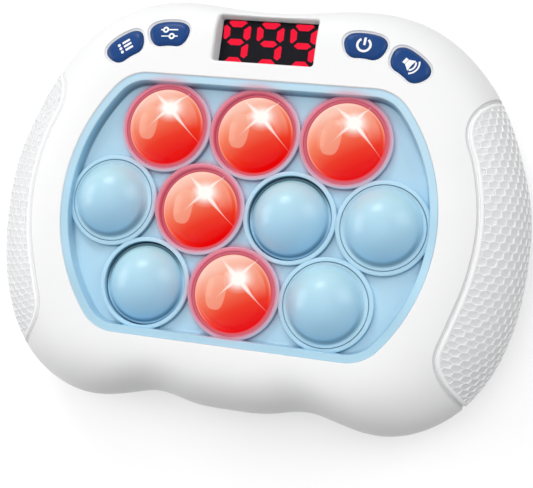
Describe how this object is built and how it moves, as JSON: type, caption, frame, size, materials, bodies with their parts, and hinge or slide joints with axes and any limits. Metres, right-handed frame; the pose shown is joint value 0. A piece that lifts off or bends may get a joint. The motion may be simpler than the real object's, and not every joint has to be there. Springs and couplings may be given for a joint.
{
  "type": "electronic bubble pop game",
  "caption": "Handheld game with a rounded white case, side grips, a sunken blue tray of push bubbles, a small score display and control buttons.",
  "frame": {"origin": "on the flat back, under the middle of the case's outline", "axes": "+X to the right, +Y towards the display, +Z out of the face; the game lies on its back"},
  "size_m": [0.169, 0.1292, 0.047],
  "materials": {
    "white_plastic": "smooth white moulded plastic",
    "grip_rubber": "light grey, six-sided scale texture",
    "blue_plastic": "light blue, satin",
    "lit_bubble": "light blue bubble lit red from inside",
    "navy_plastic": "dark blue, smooth, white signs",
    "board_green": "circuit board",
    "switch_black": "black moulded plastic",
    "display_black": "black face with lit red digits",
    "steel": "plated steel",
    "cell_label": "plain green sleeve on a steel can",
    "speaker_grey": "dark grey",
    "wire_red": "red insulation",
    "wire_black": "black insulation"
  },
  "bodies": {
    "housing": {"front_shell": "white_plastic", "back_shell": "white_plastic", "left_grip": "grip_rubber", "right_grip": "grip_rubber", "bubble_tray": "blue_plastic", "bubble_switch_top_1": "switch_black", "bubble_switch_top_2": "switch_black", "bubble_switch_top_3": "switch_black", "bubble_switch_middle_1": "switch_black", "bubble_switch_middle_2": "switch_black", "bubble_switch_middle_3": "switch_black", "bubble_switch_middle_4": "switch_black", "bubble_switch_bottom_1": "switch_black", "bubble_switch_bottom_2": "switch_black", "bubble_switch_bottom_3": "switch_black", "menu_switch": "switch_black", "settings_switch": "switch_black", "power_switch": "switch_black", "sound_switch": "switch_black", "main_board": "board_green", "display_module": "display_black", "speaker": "speaker_grey", "housing_screw_1": "steel", "housing_screw_2": "steel", "housing_screw_3": "steel", "housing_screw_4": "steel", "housing_screw_5": "steel", "housing_screw_6": "steel", "board_screw_1": "steel", "board_screw_2": "steel", "battery_1": "cell_label", "battery_2": "cell_label", "battery_3": "cell_label", "battery_spring_contact": "steel", "battery_link_left": "steel", "battery_link_right": "steel", "battery_plate_contact": "steel", "battery_lead_red": "wire_red", "battery_lead_black": "wire_black", "speaker_lead_red": "wire_red", "speaker_lead_black": "wire_black"},
    "bubble_top_1": {"bubble_top_1": "lit_bubble"},
    "bubble_top_2": {"bubble_top_2": "lit_bubble"},
    "bubble_top_3": {"bubble_top_3": "lit_bubble"},
    "bubble_middle_1": {"bubble_middle_1": "blue_plastic"},
    "bubble_middle_2": {"bubble_middle_2": "lit_bubble"},
    "bubble_middle_3": {"bubble_middle_3": "blue_plastic"},
    "bubble_middle_4": {"bubble_middle_4": "blue_plastic"},
    "bubble_bottom_1": {"bubble_bottom_1": "blue_plastic"},
    "bubble_bottom_2": {"bubble_bottom_2": "lit_bubble"},
    "bubble_bottom_3": {"bubble_bottom_3": "blue_plastic"},
    "menu_button": {"menu_button": "navy_plastic"},
    "settings_button": {"settings_button": "navy_plastic"},
    "power_button": {"power_button": "navy_plastic"},
    "sound_button": {"sound_button": "navy_plastic"},
    "battery_cover": {"battery_cover": "white_plastic", "battery_cover_screw_1": "steel", "battery_cover_screw_2": "steel"}
  },
  "joints": [
    {"name": "bubble_top_1_press", "type": "slide", "parent": "housing", "child": "bubble_top_1", "axis": [0, 0, -1], "range_m": [0, 0.0034], "stiffness_N_per_m": 250},
    {"name": "bubble_top_2_press", "type": "slide", "parent": "housing", "child": "bubble_top_2", "axis": [0, 0, -1], "range_m": [-0.0016, 0.0018], "stiffness_N_per_m": 250, "springref_m": -0.0016},
    {"name": "bubble_top_3_press", "type": "slide", "parent": "housing", "child": "bubble_top_3", "axis": [0, 0, -1], "range_m": [0, 0.0034], "stiffness_N_per_m": 250},
    {"name": "bubble_middle_1_press", "type": "slide", "parent": "housing", "child": "bubble_middle_1", "axis": [0, 0, -1], "range_m": [0, 0.0034], "stiffness_N_per_m": 250},
    {"name": "bubble_middle_2_press", "type": "slide", "parent": "housing", "child": "bubble_middle_2", "axis": [0, 0, -1], "range_m": [-0.0016, 0.0018], "stiffness_N_per_m": 250, "springref_m": -0.0016},
    {"name": "bubble_middle_3_press", "type": "slide", "parent": "housing", "child": "bubble_middle_3", "axis": [0, 0, -1], "range_m": [-0.0016, 0.0018], "stiffness_N_per_m": 250, "springref_m": -0.0016},
    {"name": "bubble_middle_4_press", "type": "slide", "parent": "housing", "child": "bubble_middle_4", "axis": [0, 0, -1], "range_m": [0, 0.0034], "stiffness_N_per_m": 250},
    {"name": "bubble_bottom_1_press", "type": "slide", "parent": "housing", "child": "bubble_bottom_1", "axis": [0, 0, -1], "range_m": [-0.0016, 0.0018], "stiffness_N_per_m": 250, "springref_m": -0.0016},
    {"name": "bubble_bottom_2_press", "type": "slide", "parent": "housing", "child": "bubble_bottom_2", "axis": [0, 0, -1], "range_m": [0, 0.0034], "stiffness_N_per_m": 250},
    {"name": "bubble_bottom_3_press", "type": "slide", "parent": "housing", "child": "bubble_bottom_3", "axis": [0, 0, -1], "range_m": [0, 0.0034], "stiffness_N_per_m": 250},
    {"name": "menu_button_press", "type": "slide", "parent": "housing", "child": "menu_button", "axis": [0, 0, -1], "range_m": [0, 0.0006], "stiffness_N_per_m": 150},
    {"name": "settings_button_press", "type": "slide", "parent": "housing", "child": "settings_button", "axis": [0, 0, -1], "range_m": [0, 0.0006], "stiffness_N_per_m": 150},
    {"name": "power_button_press", "type": "slide", "parent": "housing", "child": "power_button", "axis": [0, 0, -1], "range_m": [0, 0.0006], "stiffness_N_per_m": 150},
    {"name": "sound_button_press", "type": "slide", "parent": "housing", "child": "sound_button", "axis": [0, 0, -1], "range_m": [0, 0.0006], "stiffness_N_per_m": 150},
    {"name": "battery_cover_lift", "type": "slide", "parent": "housing", "child": "battery_cover", "axis": [0, 0, -1], "range_m": [0, 0.02]}
  ]
}
